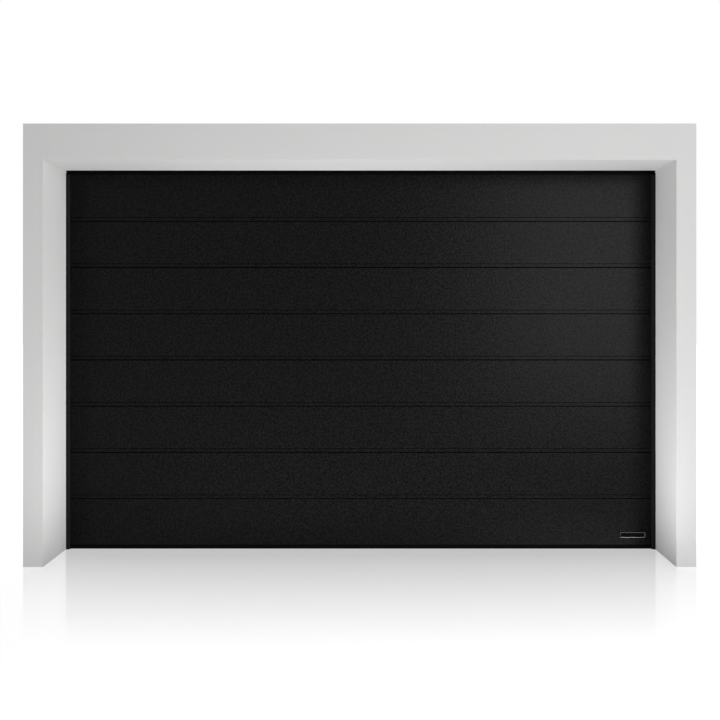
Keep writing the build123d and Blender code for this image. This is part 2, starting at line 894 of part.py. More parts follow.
def bearing_plate(seat, sheet, start, foot_start, foot):
    """A plate across the shaft, with a hole for a bearing and a foot along its seat.

    seat is the depth that the foot lies on, start is the plate's left face, and
    foot_start and foot are the foot's left edge and its width.
    """
    hole = bearing_radius + running_clearance
    far_edge = shaft_depth + plate_round
    with BuildPart() as plate:
        with BuildSketch(Plane.YZ.offset(start)) as outline:
            with Locations((seat, shaft_height)):
                Rectangle(far_edge - seat, plate_height, align=(Align.MIN, Align.CENTER))
            fillet(outline.vertices().group_by(Axis.X)[-1], plate_round)
            with Locations((shaft_depth, shaft_height)):
                Circle(hole, mode=Mode.SUBTRACT)
        extrude(amount=sheet)
        with BuildSketch(Plane.XY.offset(shaft_height - plate_height / 2)):
            with Locations((foot_start, seat)):
                Rectangle(foot, sheet, align=(Align.MIN, Align.MIN))
        extrude(amount=plate_height)
    return plate.part


def make_bearing_plates():
    """The header rail, the centre plate on it and the plates at the shaft's ends."""
    half_rail = half_opening + frame_edge - joint_clearance
    with BuildPart() as rail:
        with BuildSketch(Plane.YZ.offset(-half_rail)):
            with Locations((wall_back, shaft_height)):
                Rectangle(header_depth, header_height, align=(Align.MIN, Align.CENTER))
                Rectangle(
                    header_depth - header_sheet,
                    header_height - 2 * header_sheet,
                    align=(Align.MIN, Align.CENTER),
                    mode=Mode.SUBTRACT,
                )
        extrude(amount=2 * half_rail)
    write(rail, "header_rail")

    rail_face = wall_back + header_depth
    with BuildPart() as centre_plate:
        add(
            bearing_plate(
                rail_face,
                centre_plate_sheet,
                -centre_plate_sheet / 2,
                -centre_foot / 2,
                centre_foot,
            )
        )
    write(centre_plate, "centre_plate")

    frame_face = wall_back + frame_sheet
    with BuildPart() as end_plates:
        add(
            bearing_plate(
                frame_face, plate_sheet, plate_inner_face, plate_place - plate_foot, plate_foot
            )
        )
        mirror(about=Plane.YZ)
    write(end_plates, "end_plates")



make_wall()
make_sections()
make_end_caps()
make_bottom_edge()
make_top_edge()
make_side_seals()
make_side_frames()
make_tracks()
make_corner_plates()
make_rear_plates()
make_hangers("middle_hangers", middle_hanger_place, track_back)
make_hangers("rear_hangers", track_end - rear_hanger_inset, track_back + gusset_sheet)
make_hinges()
make_brackets()
make_rollers()
make_shaft()
make_springs()
make_drums()
make_cables()
make_bearing_plates()
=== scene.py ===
from math import cos, pi, radians, sin

import bmesh
import bpy
from mathutils import Matrix, Vector


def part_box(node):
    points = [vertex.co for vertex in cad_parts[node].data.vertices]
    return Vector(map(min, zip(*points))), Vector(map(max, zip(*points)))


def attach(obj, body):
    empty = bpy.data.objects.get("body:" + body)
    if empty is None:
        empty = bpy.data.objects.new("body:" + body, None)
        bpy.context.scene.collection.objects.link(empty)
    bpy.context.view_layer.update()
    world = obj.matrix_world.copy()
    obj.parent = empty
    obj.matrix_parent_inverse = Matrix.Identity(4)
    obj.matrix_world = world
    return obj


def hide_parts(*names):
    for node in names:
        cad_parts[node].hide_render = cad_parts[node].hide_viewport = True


bl_info = {
    "name": "Sectional garage door",
    "version": (1, 0, 0),
    "blender": (4, 5, 0),
    "location": "3D View > Sidebar > Door",
    "description": "Finishes and small hardware for a sectional garage door",
    "category": "Object",
}

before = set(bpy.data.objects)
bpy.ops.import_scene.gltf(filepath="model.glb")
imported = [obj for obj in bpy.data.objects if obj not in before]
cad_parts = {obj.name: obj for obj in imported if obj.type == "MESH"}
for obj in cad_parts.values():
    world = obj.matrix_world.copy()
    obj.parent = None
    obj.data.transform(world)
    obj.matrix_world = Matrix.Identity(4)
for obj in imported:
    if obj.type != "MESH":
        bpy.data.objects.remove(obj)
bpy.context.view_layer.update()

MM = 0.001
BODY = "root"
SIDES = (-1, 1)

# Places taken from the frame
LEAF_LOW, LEAF_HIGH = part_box("lower_section")
LEAF_FACE = LEAF_LOW.y
LEAF_BACK = LEAF_HIGH.y
CAP_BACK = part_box("end_caps")[1].y
JOINT_GAP = 1 * MM
JOINTS = [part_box(f"{name}_section")[0].z - JOINT_GAP for name in ("lower", "upper", "top")]
PIN_LOW, PIN_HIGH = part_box("hinge_pins")
PIN_DEPTH = (PIN_LOW.y + PIN_HIGH.y) / 2
SHAFT_LOW, SHAFT_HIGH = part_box("torsion_shaft")
SHAFT_DEPTH = (SHAFT_LOW.y + SHAFT_HIGH.y) / 2
SHAFT_HEIGHT = (SHAFT_LOW.z + SHAFT_HIGH.z) / 2
TRACK_LOW, TRACK_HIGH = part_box("vertical_track_right")
CURVE_LOW, CURVE_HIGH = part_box("curved_track_right")
LOWER_LOW, LOWER_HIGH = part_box("lower_track_right")
UPPER_LOW, UPPER_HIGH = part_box("upper_track_right")
ROLLER_DEPTH = (TRACK_LOW.y + TRACK_HIGH.y) / 2
LOWER_HEIGHT = (LOWER_LOW.z + LOWER_HIGH.z) / 2
UPPER_HEIGHT = (UPPER_LOW.z + UPPER_HIGH.z) / 2
FRAME_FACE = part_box("side_frame_right")[1].x
WHEEL_RADIUS = 23 * MM
CARRIER_RISE = 30 * MM
CABLE_DEPTH = SHAFT_DEPTH - 60 * MM
CABLE_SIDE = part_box("lift_cables")[1].x - 4.5 * MM


# Sizes and colours that a user would change


def colour_setting(name, description, default):
    """The colour of a finish."""
    return bpy.props.FloatVectorProperty(
        name=name, description=description, default=default, subtype="COLOR", min=0, max=1
    )


def length_setting(name, description, default, low, high):
    """A length between two limits."""
    return bpy.props.FloatProperty(
        name=name, description=description, default=default, min=low, max=high, unit="LENGTH"
    )


def power_setting(name, description, default):
    """The power of a lamp."""
    return bpy.props.FloatProperty(
        name=name, description=description, default=default, min=0, max=2000, unit="POWER"
    )


def share_setting(name, description, default):
    """A share from nothing to all."""
    return bpy.props.FloatProperty(
        name=name, description=description, default=default, min=0, max=1, subtype="FACTOR"
    )


class DoorFinish(bpy.types.PropertyGroup):
    """Colours of the door's finishes."""

    leaf_colour: colour_setting("Leaf", "Paint on its outside", (0.0016, 0.0016, 0.0017))
    inner_colour: colour_setting("Inside", "Paint on the inside of the leaf", (0.62, 0.62, 0.59))
    wall_colour: colour_setting("Plaster", "Paint on the wall", (0.68, 0.677, 0.675))
    zinc_colour: colour_setting("Zinc", "Sheet of the frames and tracks", (0.56, 0.57, 0.585))
    rubber_colour: colour_setting("Rubber", "Seals round the leaf", (0.0016, 0.0014, 0.0012))


class DoorHardware(bpy.types.PropertyGroup):
    """Sizes of the small hardware."""

    wire_pitch: length_setting(
        "Coil pitch", "From one turn of a spring to the next", 7.2 * MM, 7.05 * MM, 9 * MM
    )
    screw_head: length_setting(
        "Screw head", "Across the corners of a hexagon head", 11.5 * MM, 6 * MM, 16 * MM
    )
    groove_pitch: length_setting(
        "Drum groove pitch", "From one cable groove to the next", 6 * MM, 5 * MM, 8 * MM
    )
    plate_width: length_setting(
        "Name plate", "Width of the bare plate on the leaf", 147 * MM, 60 * MM, 300 * MM
    )


class DoorStage(bpy.types.PropertyGroup):
    """Light and floor of the studio."""

    sky: share_setting("Sky", "Strength of the even light from all round", 0.4)
    key: power_setting("Key light", "Power of the tall soft lamp at the front right", 200)
    left_side: power_setting("Left light", "Power of the lamp beside the wall on the left", 250)
    right_side: power_setting("Right light", "Power of the lamp beside the wall on the right", 320)
    low_fill: power_setting("Low light", "Power of the lamp on the floor in front", 42)
    back: power_setting("Back light", "Power of the lamp inside the garage", 500)
    floor_shine: share_setting(
        "Floor shine", "How much the floor mirrors at the foot of the door", 0.42
    )


# Materials

PALETTE = {}


def add(tree, kind, inputs=None, **settings):
    """Adds a node, sets it up, and links or fills the inputs that are given by name."""
    made = tree.nodes.new(kind)
    for name, value in settings.items():
        setattr(made, name, value)
    for name, value in (inputs or {}).items():
        if isinstance(value, bpy.types.NodeSocket):
            tree.links.new(value, made.inputs[name])
        else:
            made.inputs[name].default_value = value
    return made


def start_material(name):
    """A new material with its tree, its shader and the object's coordinates."""
    material = bpy.data.materials.new(name)
    material.use_nodes = True
    PALETTE[name] = material
    tree = material.node_tree
    shader = tree.nodes["Principled BSDF"]
    place = tree.nodes.new("ShaderNodeTexCoord").outputs["Object"]
    return material, tree, shader, place


def set_shader(tree, shader, colour, gloss, metal=0.0, shine=0.5):
    """Links the colour and the roughness, and fills the metal and specular sockets."""
    tree.links.new(colour, shader.inputs["Base Color"])
    tree.links.new(gloss, shader.inputs["Roughness"])
    shader.inputs["Metallic"].default_value = metal
    shader.inputs["Specular IOR Level"].default_value = shine


def noise(tree, place, scale, detail=3.0, roughness=0.55):
    """Fine noise from 0 to 1; scale is in patches to the metre."""
    values = {"Vector": place, "Scale": scale, "Detail": detail, "Roughness": roughness}
    return add(tree, "ShaderNodeTexNoise", values).outputs["Fac"]


def between(tree, value, low, high, start=0.0, end=1.0):
    """Maps a value that runs from start to end onto low to high."""
    values = {"Value": value, "From Min": start, "From Max": end, "To Min": low, "To Max": high}
    return add(tree, "ShaderNodeMapRange", values).outputs["Result"]


def blend(tree, factor, first, second):
    """Mixes two colours."""
    values = {0: factor, 6: first, 7: second}
    return add(tree, "ShaderNodeMix", values, data_type="RGBA").outputs[2]


def maths(tree, kind, first, second):
    """The product or the larger of two values."""
    return add(tree, "ShaderNodeMath", {0: first, 1: second}, operation=kind).outputs[0]


def shade(tree, colour, value, low, high):
    """A colour that noise makes darker or lighter, from low to high times its own."""
    dark = (*[part * low for part in colour], 1)
    light = (*[min(part * high, 1) for part in colour], 1)
    return blend(tree, value, dark, light)


def roughen(tree, shader, *bumps):
    """Chains bumps, each a height, its depth in metres and its strength."""
    normal = None
    for height, depth, strength in bumps:
        values = {"Height": height, "Distance": depth, "Strength": strength}
        if normal:
            values["Normal"] = normal
        normal = add(tree, "ShaderNodeBump", values).outputs["Normal"]
    tree.links.new(normal, shader.inputs["Normal"])


def stretch(tree, place, factors):
    """Object coordinates that are squeezed or stretched along the axes."""
    values = {"Vector": place, "Scale": factors}
    return add(tree, "ShaderNodeMapping", values).outputs["Vector"]


def part_of(tree, place, axis):
    """One of the object's coordinates."""
    return add(tree, "ShaderNodeSeparateXYZ", {"Vector": place}).outputs[axis]


def plaster(colour):
    """Smooth painted render with faint trowel marks."""
    material, tree, shader, place = start_material("plaster")
    broad = noise(tree, place, 1.7, 2.0)
    grain = noise(tree, place, 420.0, 4.0, 0.65)
    mottled = shade(tree, colour, broad, 0.975, 1.02)
    speck = between(tree, grain, 0.0, 0.05, 0.35, 0.75)
    mottled = blend(tree, speck, mottled, (*[part * 0.8 for part in colour], 1))
    set_shader(tree, shader, mottled, between(tree, grain, 0.78, 0.92), shine=0.25)
    trowel = noise(tree, stretch(tree, place, (1.0, 1.0, 0.45)), 9.0, 3.0)
    roughen(tree, shader, (trowel, 0.0012, 0.25), (grain, 0.0002, 0.35))
    return material


def leaf_paint(outer, inner):
    """Sand-grained dark paint outside and a pale smooth coat inside."""
    material, tree, shader, place = start_material("leaf_skin")
    sand = noise(tree, place, 92.0, 2.0, 0.5)
    cloud = noise(tree, place, 2.2, 2.0)
    depth = part_of(tree, place, "Y")
    inside = between(tree, depth, 0.0, 1.0, -1.0 * MM, 1.0 * MM)
    outer_skin = shade(tree, outer, between(tree, sand, 0.0, 1.0, 0.38, 0.62), 0.4, 1.7)
    inner_skin = shade(tree, inner, cloud, 0.96, 1.03)
    skin = blend(tree, inside, outer_skin, inner_skin)
    outer_gloss = between(tree, sand, 0.29, 0.34, 0.38, 0.62)
    inner_gloss = between(tree, cloud, 0.34, 0.44)
    gloss = add(tree, "ShaderNodeMix", {0: inside, 2: outer_gloss, 3: inner_gloss}).outputs[0]
    set_shader(tree, shader, skin, gloss)
    # Painted shade: the specular level drops almost to nothing in the bottom of the lines, so the
    # grooves render near black.
    groove_shade_mask = between(tree, depth, 1.0, 0.02, LEAF_FACE + 0.01 * MM, LEAF_FACE + 0.12 * MM)
    speck = between(tree, sand, 0.067, 0.103, 0.4, 0.6)
    shine = maths(tree, "MULTIPLY", groove_shade_mask, speck)
    shine = add(tree, "ShaderNodeMix", {0: inside, 2: shine, 3: 0.3}).outputs[0]
    tree.links.new(shine, shader.inputs["Specular IOR Level"])
    roughen(tree, shader, (sand, 0.001, 0.7), (noise(tree, place, 14.0), 0.0008, 0.12))
    return material


def coated_sheet(name, colour, gloss, shine=0.35):
    """Painted or anodised sheet with a faint orange-peel and rubbed patches."""
    material, tree, shader, place = start_material(name)
    cloud = noise(tree, place, 5.0)
    peel = noise(tree, place, 380.0)
    paint = shade(tree, colour, cloud, 0.9, 1.08)
    sheen = between(tree, cloud, gloss - 0.07, gloss + 0.08)
    set_shader(tree, shader, paint, sheen, shine=shine)
    roughen(tree, shader, (peel, 0.00012, 0.4))
    return material


def rubber(name, colour, shine):
    """Dull moulded rubber with dust in its pores."""
    material, tree, shader, place = start_material(name)
    dust = noise(tree, place, 26.0, 4.0)
    pores = noise(tree, place, 900.0, 2.0)
    dusty = shade(tree, colour, dust, 0.75, 1.7)
    set_shader(tree, shader, dusty, between(tree, pores, 0.62, 0.85), shine=shine)
    roughen(tree, shader, (pores, 0.00015, 0.5))
    return material


def galvanised(colour):
    """Hot-dipped sheet with its spangle and dull patches."""
    material, tree, shader, place = start_material("galvanised_steel")
    crystals = add(tree, "ShaderNodeTexVoronoi", {"Vector": place, "Scale": 120.0})
    shine = add(tree, "ShaderNodeSeparateColor", {"Color": crystals.outputs["Color"]})
    flake = shine.outputs["Red"]
    cloud = noise(tree, place, 7.0, 4.0)
    metal = shade(tree, colour, flake, 0.93, 1.06)
    oxide = between(tree, cloud, 0.0, 0.45, 0.5, 0.8)
    metal = blend(tree, oxide, metal, (*[part * 0.82 for part in colour], 1))
    set_shader(tree, shader, metal, between(tree, flake, 0.36, 0.48), metal=1.0)
    roughen(tree, shader, (flake, 0.00004, 0.2), (noise(tree, place, 160.0), 0.00008, 0.25))
    return material


def plated(name, colour, gloss):
    """Zinc-plated pressed steel, slightly warm, rubbed where it is handled."""
    material, tree, shader, place = start_material(name)
    cloud = noise(tree, place, 38.0, 4.0)
    brushed = noise(tree, stretch(tree, place, (1.0, 1.0, 12.0)), 160.0, 3.0)
    warm = (*[part * rate for part, rate in zip(colour, (0.9, 0.8775, 0.81))], 1)
    metal = blend(tree, between(tree, cloud, 0.0, 1.0, 0.35, 0.75), (*colour, 1), warm)
    sheen = between(tree, brushed, gloss - 0.08, gloss + 0.12)
    set_shader(tree, shader, metal, sheen, metal=1.0)
    roughen(tree, shader, (brushed, 0.00005, 0.35), (cloud, 0.0001, 0.15))
    return material


def turned(name, colour, gloss):
    """Turned or drawn steel with fine lines round its length along X."""
    material, tree, shader, place = start_material(name)
    lines = noise(tree, stretch(tree, place, (14.0, 1.0, 1.0)), 90.0, 3.0)
    stain = noise(tree, place, 9.0, 5.0)
    sheen = between(tree, lines, gloss - 0.08, gloss + 0.1)
    set_shader(tree, shader, shade(tree, colour, stain, 0.84, 1.08), sheen, metal=1.0)
    roughen(tree, shader, (lines, 0.00004, 0.4))
    return material


def oiled_wire():
    """Dark oil-tempered spring wire with a few rusty specks."""
    material, tree, shader, place = start_material("spring_steel")
    scale_skin = noise(tree, place, 120.0, 4.0)
    specks = noise(tree, place, 46.0, 6.0, 0.75)
    steel = blend(tree, scale_skin, (0.035, 0.035, 0.038, 1), (0.1, 0.1, 0.105, 1))
    rust = between(tree, specks, 0.0, 0.6, 0.66, 0.78)
    steel = blend(tree, rust, steel, (0.13, 0.06, 0.03, 1))
    set_shader(tree, shader, steel, between(tree, scale_skin, 0.28, 0.48), metal=0.85)
    roughen(tree, shader, (scale_skin, 0.00006, 0.4))
    return material


def casting(name, colour):
    """Die-cast alloy with a pebbled skin."""
    material, tree, shader, place = start_material(name)
    pebbles = noise(tree, place, 520.0, 3.0)
    cloud = noise(tree, place, 30.0, 4.0)
    alloy = shade(tree, colour, cloud, 0.84, 1.06)
    set_shader(tree, shader, alloy, between(tree, pebbles, 0.42, 0.62), metal=0.9)
    roughen(tree, shader, (pebbles, 0.00015, 0.55))
    return material


def wire_rope(colour):
    """Stranded cable: slanting wires round its length along Z."""
    material, tree, shader, place = start_material("cable_steel")
    turned_place = add(
        tree, "ShaderNodeMapping", {"Vector": place, "Rotation": (0.0, radians(32.0), 0.0)}
    ).outputs["Vector"]
    strands = add(
        tree, "ShaderNodeTexWave",
        {"Vector": turned_place, "Scale": 260.0, "Distortion": 0.4},
        wave_type="BANDS", bands_direction="Z",
    ).outputs["Fac"]
    wires = shade(tree, colour, strands, 0.45, 1.1)
    set_shader(tree, shader, wires, between(tree, strands, 0.5, 0.3), metal=1.0)
    roughen(tree, shader, (strands, 0.0004, 0.8))
    return material


def nylon(colour):
    """Moulded nylon, greyed where it has run in the track."""
    material, tree, shader, place = start_material("roller_nylon")
    grime = noise(tree, place, 60.0, 5.0)
    worn = between(tree, grime, 0.0, 0.5, 0.5, 0.8)
    plain = shade(tree, colour, noise(tree, place, 14.0), 0.95, 1.03)
    greyed = blend(tree, worn, plain, (0.42, 0.41, 0.38, 1))
    set_shader(tree, shader, greyed, between(tree, grime, 0.38, 0.6))
    shader.inputs["Subsurface Weight"].default_value = 0.05
    roughen(tree, shader, (grime, 0.0001, 0.3))
    return material


# Shaping


def profile_face(bm, points, place):
    """One face from the points of an outline; place turns a pair into a corner."""
    return bm.faces.new([bm.verts.new(place(*point)) for point in points])


def push(bm, face, distance):
    """Extrudes a face along a distance and closes the solid."""
    made = bmesh.ops.extrude_face_region(bm, geom=[face], use_keep_orig=True)
    moved = [item for item in made["geom"] if isinstance(item, bmesh.types.BMVert)]
    bmesh.ops.translate(bm, verts=moved, vec=distance)


def arc(centre, radius, start, end, steps):
    """Points along an arc; start and end are in degrees."""
    turns = [radians(start + (end - start) * step / steps) for step in range(steps + 1)]
    return [(centre[0] + radius * cos(turn), centre[1] + radius * sin(turn)) for turn in turns]


def full_turn(bm, ring, middle, steps):
    """Spins an outline all the way round an axis along X."""
    bmesh.ops.spin(
        bm, geom=ring, cent=middle, axis=(1, 0, 0), dvec=(0, 0, 0), angle=2 * pi, steps=steps,
        use_merge=True, use_duplicate=False,
    )


def lathe(bm, points, middle, steps):
    """Turns a closed outline of (along X, out) pairs round an axis along X."""
    middle = Vector(middle)
    verts = [bm.verts.new(middle + Vector((along, 0, far))) for along, far in points]
    edges = [bm.edges.new((verts[n - 1], verts[n])) for n in range(len(verts))]
    full_turn(bm, verts + edges, middle, steps)


def sweep(bm, ring, centre, axis, angle, steps, advance=(0, 0, 0)):
    """Spins an outline round an axis, moving it on at each step, and closes its far end."""
    made = bmesh.ops.spin(
        bm, geom=ring, cent=centre, axis=axis, dvec=advance, angle=angle, steps=steps,
        use_merge=False, use_duplicate=False,
    )
    last = [item for item in made["geom_last"] if isinstance(item, bmesh.types.BMEdge)]
    bmesh.ops.contextual_create(bm, geom=last)


def mirror_right(bm):
    """Adds the left side's mirror image to what stands on the right."""
    everything = bm.verts[:] + bm.edges[:] + bm.faces[:]
    bmesh.ops.mirror(bm, geom=everything, matrix=Matrix.Identity(4), merge_dist=-1, axis="X")


def finish_piece(bm, name, material, replaced=(), smooth_angle=40, extra=()):
    """Turns a finished bmesh into a piece that rides on the door."""
    bmesh.ops.remove_doubles(bm, verts=bm.verts, dist=0.01 * MM)
    bmesh.ops.recalc_face_normals(bm, faces=bm.faces)
    mesh = bpy.data.meshes.new(name)
    bm.to_mesh(mesh)
    bm.free()
    for finish in (material, *extra):
        mesh.materials.append(finish)
    mesh.shade_smooth()
    mesh.set_sharp_from_angle(angle=radians(smooth_angle))
    piece = bpy.data.objects.new(name, mesh)
    bpy.context.scene.collection.objects.link(piece)
    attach(piece, BODY)
    if replaced:
        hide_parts(*replaced)
    return piece


def dress(material, *nodes):
    """Gives CAD nodes their finish."""
    for node in nodes:
        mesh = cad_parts[node].data
        mesh.materials.clear()
        mesh.materials.append(material)


def facing(axis):
    """A turn that points +Z along an axis."""
    return Vector((0, 0, 1)).rotation_difference(Vector(axis)).to_matrix().to_4x4()


def edges_of(verts):
    """Each edge between some vertices, once."""
    return [edge for vert in verts for edge in vert.link_edges if edge.verts[0] == vert]


def ease_edges(bm, edges, offset, segments):
    """Rounds some edges off."""
    bmesh.ops.bevel(
        bm, geom=edges, offset=offset, affect="EDGES", segments=segments, profile=0.5, material=-1
    )


def cone(bm, segments, low, high, depth, place):
    """The corners of a closed cone or round bar, whose middle a matrix puts in its place."""
    return bmesh.ops.create_cone(
        bm, cap_ends=True, segments=segments, radius1=low, radius2=high, depth=depth, matrix=place
    )["verts"]


def round_bar(bm, middle, axis, radius, length, ease, segments=16):
    """A round bar with eased ends, centred on its middle."""
    place = Matrix.Translation(middle) @ facing(axis)
    verts = cone(bm, segments, radius, radius, length, place)
    line = Vector(axis)
    rims = [
        edge
        for edge in edges_of(verts)
        if abs(line.dot(edge.verts[0].co - edge.verts[1].co)) < length / 2
    ]
    ease_edges(bm, rims, ease, 2)


def hexagon_screw(bm, place, axis, across, washer=True):
    """A hexagon head on its flange, standing on a face along an axis."""
    turn = Matrix.Translation(place) @ facing(axis)
    radius = across / 2
    flange = 0.16 * across
    height = 0.55 * across
    if washer:
        low = turn @ Matrix.Translation((0, 0, flange / 2))
        cone(bm, 14, 1.35 * radius, 1.2 * radius, flange, low)
    high = turn @ Matrix.Translation((0, 0, (height + flange) / 2))
    body = cone(bm, 6, radius, radius, height - flange, high)
    top = Vector(axis).dot(place) + height
    rim = [
        edge
        for edge in edges_of(body)
        if all(abs(Vector(axis).dot(vert.co) - top) < 0.1 * MM for vert in edge.verts)
    ]
    ease_edges(bm, rim, 0.1 * across, 1)


# Operators


class DoorPiece:
    """What the operators share."""

    bl_options = {"REGISTER", "UNDO"}

    def execute(self, context):
        self.make(context.scene.door_finish, context.scene.door_hardware)
        return {"FINISHED"}


class DOOR_OT_wall(DoorPiece, bpy.types.Operator):
    """Plasters the piers and the lintel"""

    bl_idname = "door.wall"
    bl_label = "Wall"

    def make(self, finish, hardware):
        dress(plaster(finish.wall_colour), "pier_left", "pier_right", "lintel")


class DOOR_OT_leaf(DoorPiece, bpy.types.Operator):
    """Paints the four sections, their caps and the rails along the leaf"""

    bl_idname = "door.leaf"
    bl_label = "Leaf"

    def make(self, finish, hardware):
        sections = [f"{name}_section" for name in ("bottom", "lower", "upper", "top")]
        dress(leaf_paint(finish.leaf_colour, finish.inner_colour), *sections)
        dress(coated_sheet("cap_steel", finish.inner_colour, 0.42), "end_caps")
        rail_paint = coated_sheet("edge_aluminium", (0.0018, 0.0016, 0.0014), 0.4, 0.03)
        dress(rail_paint, "bottom_rail", "top_rail")


class DOOR_OT_seals(DoorPiece, bpy.types.Operator):
    """Gives the seals round the leaf their rubber"""

    bl_idname = "door.seals"
    bl_label = "Seals"

    def make(self, finish, hardware):
        dress(rubber("seal_rubber", finish.rubber_colour, 0.04), "bottom_seal", "top_seal")
        pale = [3 * part for part in finish.rubber_colour]
        dress(rubber("lip_rubber", pale, 0.14), "side_seals")


class DOOR_OT_name_plate(DoorPiece, bpy.types.Operator):
    """Makes the bare plate at the foot of the leaf"""

    bl_idname = "door.name_plate"
    bl_label = "Name plate"

    ALONG = 1.617
    RISE = 0.0835
    HEIGHT = 29 * MM
    THICKNESS = 1.6 * MM
    CORNER = 4 * MM
    RIM = 1.1 * MM
    RECESS = 0.4 * MM

    def make(self, finish, hardware):
        field = coated_sheet("plate_field", (0.0015, 0.0015, 0.0015), 0.4, 0.03)
        edge = plated("plate_edge", (0.34, 0.34, 0.34), 0.34)
        thickness = self.THICKNESS
        middle = Vector((self.ALONG, LEAF_FACE - thickness / 2, self.RISE))
        bm = bmesh.new()
        size = Matrix.Diagonal((hardware.plate_width, thickness, self.HEIGHT, 1))
        bmesh.ops.create_cube(bm, size=1, matrix=Matrix.Translation(middle) @ size)
        corners = [e for e in bm.edges if abs((e.verts[0].co - e.verts[1].co).y) > thickness / 2]
        ease_edges(bm, corners, self.CORNER, 4)
        for face in bm.faces:
            face.material_index = 1
        bm.faces.ensure_lookup_table()
        front = min(bm.faces, key=lambda face: face.calc_center_median().y)
        bmesh.ops.inset_region(
            bm, faces=[front], thickness=self.RIM, depth=-self.RECESS, use_even_offset=True
        )
        front.material_index = 0
        finish_piece(bm, "name_plate", field, extra=(edge,))


class DOOR_OT_frames(DoorPiece, bpy.types.Operator):
    """Gives the frames, plates, rails and hangers their zinc"""

    bl_idname = "door.frames"
    bl_label = "Frames"

    def make(self, finish, hardware):
        dress(
            galvanised(finish.zinc_colour), "side_frame_left", "side_frame_right", "header_rail",
            "cross_bar", "corner_plates", "rear_plates", "centre_plate", "end_plates",
            "middle_hangers", "rear_hangers",
        )


class DOOR_OT_tracks(DoorPiece, bpy.types.Operator):
    """Rolls the tracks with round bends along their edges"""

    bl_idname = "door.tracks"
    bl_label = "Tracks"

    SHEET = 2 * MM
    BEND = 4 * MM
    SLOT = 32 * MM
    BEND_STEPS = 4
    CURVE_STEPS = 28

    def outline(self):
        """The track's section as (along X, across) pairs, open towards the leaf."""
        mouth, back = TRACK_LOW.x, TRACK_HIGH.x
        half = (TRACK_HIGH.y - TRACK_LOW.y) / 2
        outer, inner = self.BEND, self.BEND - self.SHEET
        steps, slot = self.BEND_STEPS, self.SLOT / 2
        near, far, top = mouth + outer, back - outer, half - outer
        half_section = [(mouth, slot), *arc((near, top), outer, 180, 90, steps)]
        half_section += arc((far, top), outer, 90, 0, steps)
        inside = arc((far, top), inner, 0, 90, steps)
        inside += [*arc((near, top), inner, 90, 180, steps), (mouth + self.SHEET, slot)]
        lower = [(x, -y) for x, y in half_section[::-1]]
        lower_inside = [(x, -y) for x, y in inside[::-1]]
        return half_section + lower + lower_inside + inside

    def make(self, finish, hardware):
        zinc = PALETTE["galvanised_steel"]
        curve_middle = (CURVE_HIGH.y, CURVE_LOW.z)
        for side, word in zip(SIDES, ("left", "right")):
            def upright(start, side=side):
                return lambda x, across: Vector((side * x, ROLLER_DEPTH + across, start))

            def level(start, height, side=side):
                return lambda x, across: Vector((side * x, start, height + across))

            upright_run = (0, 0, TRACK_HIGH.z - TRACK_LOW.z)
            lower, lower_run = level(LOWER_LOW.y, LOWER_HEIGHT), (0, LOWER_HIGH.y - LOWER_LOW.y, 0)
            upper, upper_run = level(UPPER_LOW.y, UPPER_HEIGHT), (0, UPPER_HIGH.y - UPPER_LOW.y, 0)
            runs = (
                ("upright_track", "vertical_track", upright(TRACK_LOW.z), upright_run),
                ("level_track", "lower_track", lower, lower_run),
                ("top_track", "upper_track", upper, upper_run),
            )
            for name, node, place, distance in runs:
                bm = bmesh.new()
                push(bm, profile_face(bm, self.outline(), place), distance)
                finish_piece(
                    bm, f"{name}_{word}", zinc, (f"{node}_{word}",), 25
                )
            bm = bmesh.new()
            face = profile_face(bm, self.outline(), upright(CURVE_LOW.z))
            ring = face.edges[:] + face.verts[:]
            sweep(bm, ring, (0, *curve_middle), (-1, 0, 0), pi / 2, self.CURVE_STEPS)
            finish_piece(
                bm, f"bent_track_{word}", zinc, (f"curved_track_{word}",), 25
            )


